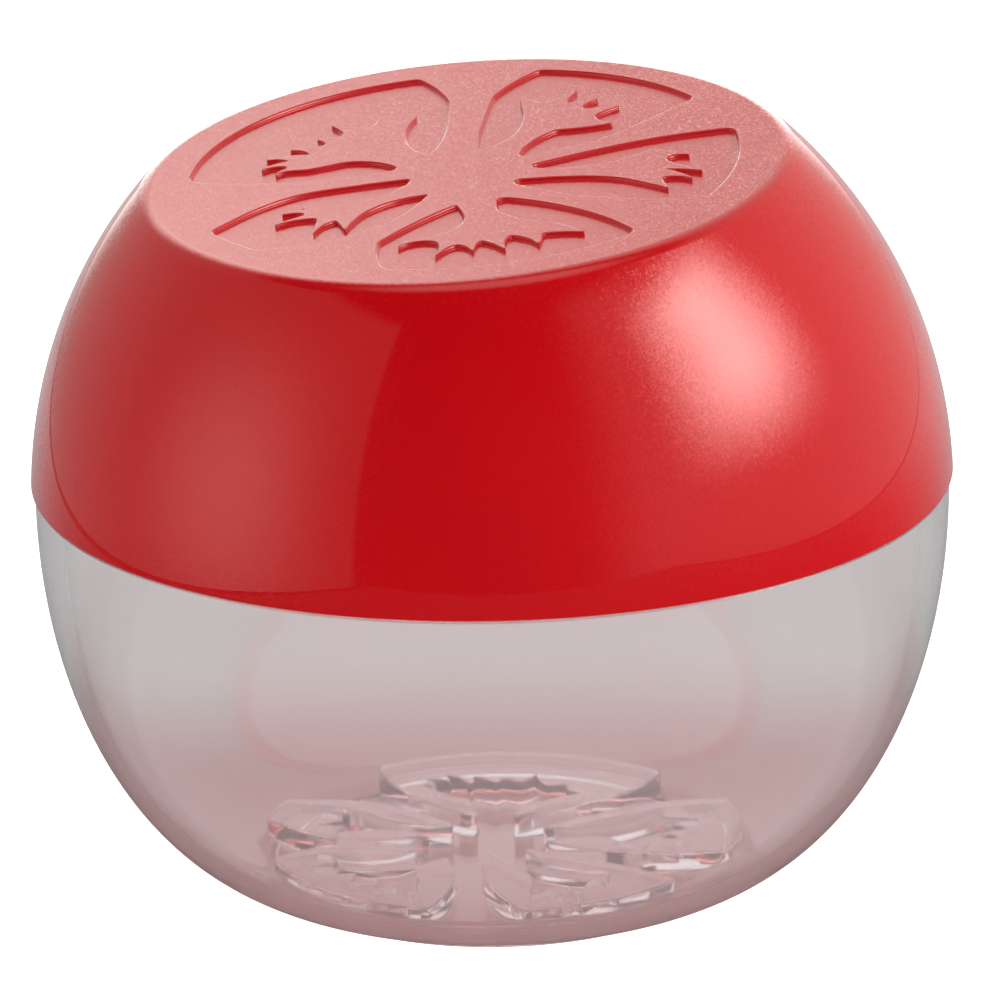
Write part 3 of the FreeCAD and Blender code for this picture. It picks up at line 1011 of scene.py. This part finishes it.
@cache
def pearl_group() -> bpy.types.NodeTree:
    """A group for pearl pigment: flakes a fraction of a millimetre wide, each tipped its own way.

    Returns:
        The group. Its output is the surface's normal, tipped flake by flake.
    """
    n, given, results = new_group("pearl_flakes", ("Flake Size", "Tip"), {"Normal": "NodeSocketVector"})
    place = n.add("ShaderNodeTexCoord").outputs["Object"]
    scale = n.math("DIVIDE", 1.0, given["Flake Size"])
    cells = n.add("ShaderNodeTexVoronoi", {"Vector": place, "Scale": scale})
    centred = n.vector_math("SUBTRACT", cells.outputs["Color"], (0.5, 0.5, 0.5))
    tipped = n.add("ShaderNodeVectorMath", {0: centred, "Scale": given["Tip"]}, operation="SCALE")
    normal = n.add("ShaderNodeNewGeometry").outputs["Normal"]
    total = n.vector_math("ADD", normal, tipped.outputs[0])
    n.feed(results["Normal"], n.vector_math("NORMALIZE", total))
    return n.tree


@dataclass(frozen=True)
class Skin:
    """How a moulding's surface varies: its slow waves, and its fine handling marks."""

    wave_size: float
    wave_height: float
    mark_size: float

    def lay(self, n: Nodes) -> bpy.types.NodeOutputs:
        """Puts the moulded skin into a material, and returns its outputs."""
        values = {"Wave Size": self.wave_size, "Wave Height": self.wave_height, "Mark Size": self.mark_size}
        return n.add("ShaderNodeGroup", values, node_tree=moulding_group()).outputs


def new_material(name: str) -> tuple[bpy.types.Material, Nodes, bpy.types.Node]:
    """A material with a Principled shader wired to its output."""
    material = bpy.data.materials.new(name)
    material.use_nodes = True
    material.node_tree.nodes.clear()
    n = Nodes(material.node_tree)
    shader = n.add("ShaderNodeBsdfPrincipled")
    n.add("ShaderNodeOutputMaterial", {"Surface": shader.outputs[0]})
    return material, n, shader


def show(n: Nodes, surface: Socket) -> None:
    """Wires a material's output to another shader."""
    end = next(node for node in n.tree.nodes if node.type == "OUTPUT_MATERIAL")
    n.feed(end.inputs["Surface"], surface)


@dataclass(frozen=True)
class PearlRed:
    """Glossy tomato-red plastic with fine pearl pigment under a smooth clear skin."""

    body: Colour = (0.67, 0.0004, 0.004)
    depth: Colour = (0.64, 0.0004, 0.0048)
    pearl: float = 0.02
    sheen_level: float = 0.2
    index: float = 1.5
    roughness: float = 0.2
    marks: float = 0.03
    moulding: Skin = Skin(16 * MM, 0.004 * MM, 0.9 * MM)
    skin: float = 0.72
    skin_roughness: float = 0.02
    flake_size: float = 0.2 * MM
    flake_tip: float = 0.13
    top_skin: float = 0.8
    top_roughness: float = 0.14
    inside_moulding: Skin = Skin(20 * MM, 0.004 * MM, 1.2 * MM)
    inside_roughness: float = 0.25
    inside_marks: float = 0.05
    # painted glow: emission inside the lid that lights the bowl and table pink, in place of light through
    # the thin red wall
    painted_glow: Colour = (0.92, 0.52, 0.53)
    painted_glow_strength: float = 0.85
    painted_glow_in_gloss: Colour = (0.9, 1.5, 1.5)

    def side(self) -> bpy.types.Material:
        """Builds the bright finish of the round side."""
        return self.outside("pearl_red_plastic", self.skin, self.skin_roughness)

    def top(self) -> bpy.types.Material:
        """Builds the satin finish of the flat top."""
        return self.outside("satin_red_plastic", self.top_skin, self.top_roughness)

    def inside(self) -> bpy.types.Material:
        """Builds the plain skin inside the lid, with a painted pink glow that stands in for the light its
        thin wall lets in; the camera doesn't see the glow, and reflections see a brighter, paler one.
        """
        material, n, shader = new_material("pearl_red_inside")
        skin = self.inside_moulding.lay(n)
        painted_glow = n.mix(n.reflected(), self.painted_glow, self.painted_glow_in_gloss)
        n.give(shader, {
            "Base Color": n.mix(skin["Blotches"], self.body, self.depth),
            "Roughness": n.math("MULTIPLY_ADD", skin["Marks"], self.inside_marks, self.inside_roughness),
            # painted glow, black to the camera
            "Emission Color": n.mix(n.ray("Is Camera Ray"), painted_glow, (0, 0, 0)),
            "Emission Strength": self.painted_glow_strength,
        })
        return material

    def outside(self, name: str, skin_weight: float, skin_roughness: float) -> bpy.types.Material:
        """Builds an outer finish: pearl pigment under a clear skin.

        Args:
            name: the material's name.
            skin_weight: how much the clear skin shows.
            skin_roughness: how satin the clear skin is.

        Returns:
            The material.
        """
        material, n, shader = new_material(name)
        skin = self.moulding.lay(n)
        tips = {"Flake Size": self.flake_size, "Tip": self.flake_tip}
        n.give(shader, {
            "Base Color": n.mix(skin["Blotches"], self.body, self.depth),
            "Normal": n.add("ShaderNodeGroup", tips, node_tree=pearl_group()).outputs["Normal"],
            "Roughness": n.math("MULTIPLY_ADD", skin["Marks"], self.marks, self.roughness),
            "Metallic": self.pearl,
            "IOR": self.index,
            "Specular IOR Level": self.sheen_level,
            "Coat Weight": skin_weight,
            "Coat IOR": self.index,
            "Coat Roughness": skin_roughness,
        })
        return material


@dataclass(frozen=True)
class ClearPlastic:
    """Clear rigid plastic with the slight waves and haze of a moulding."""

    tint: Colour = (0.97, 0.965, 0.965)
    blotch: float = 0.99
    index: float = 1.49
    roughness: float = 0.03
    haze: float = 0.05
    clearness: float = 0.95
    let_through: Colour = (0.98, 0.98, 0.98)
    moulding: Skin = Skin(11 * MM, 0.012 * MM, 1.1 * MM)

    def material(self) -> bpy.types.Material:
        """Builds the material; lamp light and bounced light cross it straight, so the inside is lit."""
        material, n, shader = new_material("clear_plastic")
        skin = self.moulding.lay(n)
        bump = n.add("ShaderNodeBump", {"Height": skin["Waves"], "Strength": 1.0, "Distance": 1.0})
        n.give(shader, {
            "Base Color": n.mix(skin["Blotches"], self.tint, tuple(c * self.blotch for c in self.tint)),
            "Roughness": n.math("MULTIPLY_ADD", skin["Marks"], self.haze, self.roughness),
            "Normal": bump.outputs["Normal"],
            "IOR": self.index,
            "Transmission Weight": self.clearness,
        })
        through = n.math("MAXIMUM", n.ray("Is Shadow Ray"), n.ray("Is Diffuse Ray"))
        straight_on = n.add("ShaderNodeBsdfTransparent", {"Color": self.let_through})
        show(n, n.mix_shaders(through, shader.outputs[0], straight_on.outputs[0]))
        return material


# -------------------------------------------------------------------------------------- studio
@dataclass(frozen=True)
class Viewpoint:
    """The camera: where it looks from, what it aims at, and its lens."""

    azimuth: float = 41.0
    elevation: float = 18.44
    roll: float = -1.13
    distance: float = 0.912
    lens: float = 265.1
    sensor: float = 36.0
    nearest: float = 0.01
    furthest: float = 50.0
    aim_right: float = 0.93 * MM
    aim_below_seam: float = 4.0 * MM

    def axes(self) -> tuple[Vector, Vector]:
        """The level vectors to the camera's right and away from it."""
        a = math.radians(self.azimuth)
        return Vector((math.cos(a), math.sin(a), 0)), Vector((-math.sin(a), math.cos(a), 0))

    def make(self) -> bpy.types.Object:
        """Adds the camera and makes it the scene's."""
        right, away = self.axes()
        e, roll = math.radians(self.elevation), math.radians(self.roll)
        back = -away * math.cos(e) + Vector((0, 0, math.sin(e)))
        up = back.cross(right)
        rolled = right * math.cos(roll) + up * math.sin(roll)
        above = up * math.cos(roll) - right * math.sin(roll)
        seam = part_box("lid")[0].z
        aim = right * self.aim_right + Vector((0, 0, seam - self.aim_below_seam))
        data = bpy.data.cameras.new("camera")
        data.lens, data.sensor_width = self.lens, self.sensor
        data.clip_start, data.clip_end = self.nearest, self.furthest
        camera = bpy.data.objects.new("camera", data)
        bpy.context.scene.collection.objects.link(camera)
        turned = Matrix((rolled, above, back)).transposed().to_4x4()
        camera.matrix_world = Matrix.Translation(aim + back * self.distance) @ turned
        bpy.context.scene.camera = camera
        return camera


@dataclass(frozen=True)
class Panel:
    """A soft light in the tent, placed in degrees round from the camera, to the right, and up.

    Args:
        left, right, low, high: its edges.
        light: how bright it is.
        soft: how far each edge takes to fade, in the same order.
    """

    left: float
    right: float
    low: float
    high: float
    light: float
    soft: tuple[float, float, float, float]


@dataclass
class Studio:
    """A light tent round a pale table: plain white to the eye, with dim and bright panels in it."""

    view: Viewpoint
    table_left: float = -0.23
    table_right: float = 0.39
    table_near: float = -0.44
    table_far: float = 1.3
    gap: float = 0.3 * MM
    edge_width: float = 14 * MM
    panels: tuple[Panel, ...] = (
        Panel(-190, -33, -95, 53, 0.36, (20, 2, 1, 3)),
        Panel(-104, -36, -36, 48, 1.1, (36, 32, 44, 40)),
        Panel(20, 190, -95, 60, 0.55, (25, 20, 1, 6)),
        Panel(44, 107, 6, 54, 9.5, (33, 30, 22, 12)),
        Panel(150, 212, -95, 70, 0.3, (28, 28, 1, 25)),
        Panel(156, 206, -95, 22, 3.0, (22, 22, 1, 14)),
        Panel(-179.5, -140, 23, 70, 1.7, (6, 30, 2, 30)),
    )
    overhead: float = 1.3
    overhead_edge: Pair = (62, 80)
    dark: float = 0.005
    fill: float = 0.71
    fill_right: float = 1.05
    fill_behind: float = 1.1
    fill_top: float = 0.4
    fill_edges: tuple[Pair, Pair, Pair] = ((-0.3, 0.9), (0.0, 0.8), (0.3, 0.95))
    seen_through: float = 1.0
    mirrored_depth: float = 2.5             # the world counts a first mirroring as a depth of 2
    warmth: Colour = (1.0, 0.985, 0.92)
    table_tone: float = 0.8
    table_light: float = 0.8
    table_roughness: float = 0.9
    # painted shade in reflections: the table is much darker when seen in gloss
    table_painted_gloss_shade: float = 0.15
    edge_colour: Colour = (0.01, 0.01, 0.01)
    # painted light seen through the bowl: a dim red glow under the bowl stands in for its shade and red
    # bounce, rising to a paler glow further behind
    near_painted_shade: Colour = (0.19, 0.07, 0.07)
    far_painted_light: Colour = (0.37, 0.385, 0.385)
    painted_shade_edge: Pair = (28 * MM, 83 * MM)
    # painted reflection: the table's glow in gloss brightens away from the camera
    painted_gloss_edge: Pair = (-20 * MM, 300 * MM)
    painted_glow_in_gloss: float = 0.45

    def mask(self, n: Nodes, value: Value, low: float, high: float, soft: Pair) -> Socket:
        """1 between two edges and 0 outside them, fading at each over its own width."""
        up = n.ramp(value, low, low + soft[0])
        down = n.ramp(value, high - soft[1], high, 1, 0)
        return n.math("MULTIPLY", up, down)

    def panel_light(self, n: Nodes, compass: Socket, height: Socket) -> Socket:
        """What the tent's panels send out.

        Args:
            n: the world's nodes.
            compass: the direction round from the camera, in degrees.
            height: the direction up, in degrees.

        Returns:
            The brightness in that direction.
        """
        total = n.math("MAXIMUM", n.ramp(height, *self.overhead_edge, 0, self.overhead), self.dark)
        turns = [(panel, turn) for panel in self.panels for turn in (-360, 0, 360)]
        for panel, turn in turns:
            left, right = panel.left + turn, panel.right + turn
            if left < 180 and right > -180:
                side = self.mask(n, compass, left, right, panel.soft[:2])
                tall = self.mask(n, height, panel.low, panel.high, panel.soft[2:])
                total = n.math("MULTIPLY_ADD", n.math("MULTIPLY", side, tall), panel.light, total)
        return total

    def soft_light(self, n: Nodes, direction: Sequence[Socket]) -> Socket:
        """The even light for rough surfaces: more from the right and from behind, less from above."""
        across, back, up = ((part, *edge) for part, edge in zip(direction, self.fill_edges))
        soft = n.math("ADD", n.ramp(*across, self.fill, self.fill + self.fill_right),
                      n.ramp(*back, 0, self.fill_behind))
        return n.math("MULTIPLY", soft, n.ramp(*up, 1, self.fill_top))

    def tent(self) -> None:
        """Makes the world: white to the camera, and the tent's panels to everything else."""
        world = bpy.data.worlds.new("light_tent")
        bpy.context.scene.world = world
        world.use_nodes = True
        world.node_tree.nodes.clear()
        n = Nodes(world.node_tree)
        place = n.add("ShaderNodeTexCoord").outputs["Generated"]
        turn = {"Vector": place, "Angle": -math.radians(self.view.azimuth)}
        turned = n.add("ShaderNodeVectorRotate", turn, rotation_type="Z_AXIS")
        x, y, z = n.add("ShaderNodeSeparateXYZ", {0: turned.outputs[0]}).outputs
        compass = n.math("DEGREES", n.math("ARCTAN2", x, n.math("MULTIPLY", y, -1.0)))
        height = n.math("DEGREES", n.math("ARCSINE", z))
        glossy = n.ray("Is Glossy Ray")
        early = n.math("LESS_THAN", n.ray("Ray Depth"), self.mirrored_depth)
        mirrored = n.math("MULTIPLY", glossy, early)
        strength = n.math("MULTIPLY", mirrored, self.panel_light(n, compass, height))
        spread = n.math("SUBTRACT", 1.0, glossy)
        strength = n.math("MULTIPLY_ADD", spread, self.soft_light(n, (x, y, z)), strength)
        deep = n.math("SUBTRACT", glossy, mirrored)
        strength = n.math("MULTIPLY_ADD", deep, self.seen_through, strength)
        lit = n.add("ShaderNodeBackground", {"Strength": strength})
        n.feed(lit.inputs["Color"], n.mix(mirrored, (1, 1, 1), self.warmth))
        plain = n.add("ShaderNodeBackground", {"Color": (1, 1, 1)})
        both = n.mix_shaders(n.ray("Is Camera Ray"), lit.outputs[0], plain.outputs[0])
        n.add("ShaderNodeOutputWorld", {"Surface": both})

    def sheet(self, name: str, left: float, right: float, finish: bpy.types.Material) -> bpy.types.Object:
        """A level rectangle just under the foot, from the table's near edge to its far one.

        Args:
            name: what the object is called.
            left, right: its edges, to the camera's right of the axis.
            finish: its material.

        Returns:
            The object, which is staging and no part of the model.
        """
        right_way, away = self.view.axes()
        near, far = away * self.table_near, away * self.table_far
        down = Vector((0, 0, -self.gap))
        corners = [right_way * left + near, right_way * right + near, right_way * right + far,
                   right_way * left + far]
        mesh = bpy.data.meshes.new(name)
        mesh.from_pydata([corner + down for corner in corners], [], [(0, 1, 2, 3)])
        mesh.materials.append(finish)
        made = bpy.data.objects.new(name, mesh)
        bpy.context.scene.collection.objects.link(made)
        return made

    def table_top(self) -> bpy.types.Material:
        """Builds the table's finish: pale to the eye, painted darker in gloss, with a painted glow seen
        through the bowl that is dim red under the bowl for its shade and red bounce and paler further
        behind it, a painted reflection that brightens away from the camera, and clear from below.
        """
        material, n, shader = new_material("pale_table")
        glossy = n.ray("Is Glossy Ray")
        dimmer = self.table_painted_gloss_shade - self.table_tone
        place = n.add("ShaderNodeTexCoord").outputs["Object"]
        way = {0: place, 1: tuple(self.view.axes()[1])}
        away = n.add("ShaderNodeVectorMath", way, operation="DOT_PRODUCT").outputs["Value"]
        # painted shade and bounce under the bowl, and a painted reflection that brightens away from the
        # camera
        through = n.mix(n.ramp(away, *self.painted_shade_edge), self.near_painted_shade, self.far_painted_light)
        mirrored = n.ramp(away, *self.painted_gloss_edge, 0, self.painted_glow_in_gloss)
        n.give(shader, {
            "Base Color": n.math("MULTIPLY_ADD", glossy, dimmer, self.table_tone),
            "Roughness": self.table_roughness,
            "Specular IOR Level": 0.0,
            "Emission Color": n.mix(n.reflected(), through, mirrored),
            "Emission Strength": glossy,
        })
        light = n.add("ShaderNodeEmission", {"Strength": self.table_light})
        bright = n.add("ShaderNodeAddShader", {0: shader.outputs[0], 1: light.outputs[0]})
        above = n.mix_shaders(n.ray("Is Camera Ray"), shader.outputs[0], bright.outputs[0])
        below = n.add("ShaderNodeNewGeometry").outputs["Backfacing"]
        show(n, n.mix_shaders(below, above, n.add("ShaderNodeBsdfTransparent").outputs[0]))
        return material

    def table(self) -> None:
        """The pale table top and its dark edges, which aren't part of the object."""
        self.sheet("table", self.table_left, self.table_right, self.table_top())
        dark, n, shader = new_material("table_edge")
        n.give(shader, {"Base Color": self.edge_colour, "Specular IOR Level": 0.0})
        edges = {"left": self.table_left - self.edge_width, "right": self.table_right}
        for side, place in edges.items():
            edge = self.sheet(f"table_edge_{side}", place, place + self.edge_width, dark)
            edge.visible_camera = False

    def make(self) -> None:
        """Sets the colour transform, the tent and the table."""
        bpy.context.scene.view_settings.view_transform = "Standard"
        self.tent()
        self.table()


def main() -> None:
    """Builds the two mouldings, dresses them, and sets up the studio."""
    logging.basicConfig(level=logging.INFO, format="%(message)s", stream=sys.stdout)
    lid, bowl = Lid(), Bowl()
    lid_shell = lid.make()
    red = PearlRed()
    for finish in (red.side(), red.top(), red.inside()):
        lid_shell.data.materials.append(finish)
    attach(lid_shell, "lid")
    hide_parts("lid")
    bowl_shell = bowl.make()
    bowl_shell.data.materials.append(ClearPlastic().material())
    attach(bowl_shell, "base")
    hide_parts("base_bowl")
    view = Viewpoint()
    view.make()
    Studio(view).make()


if __name__ == "__main__":
    main()
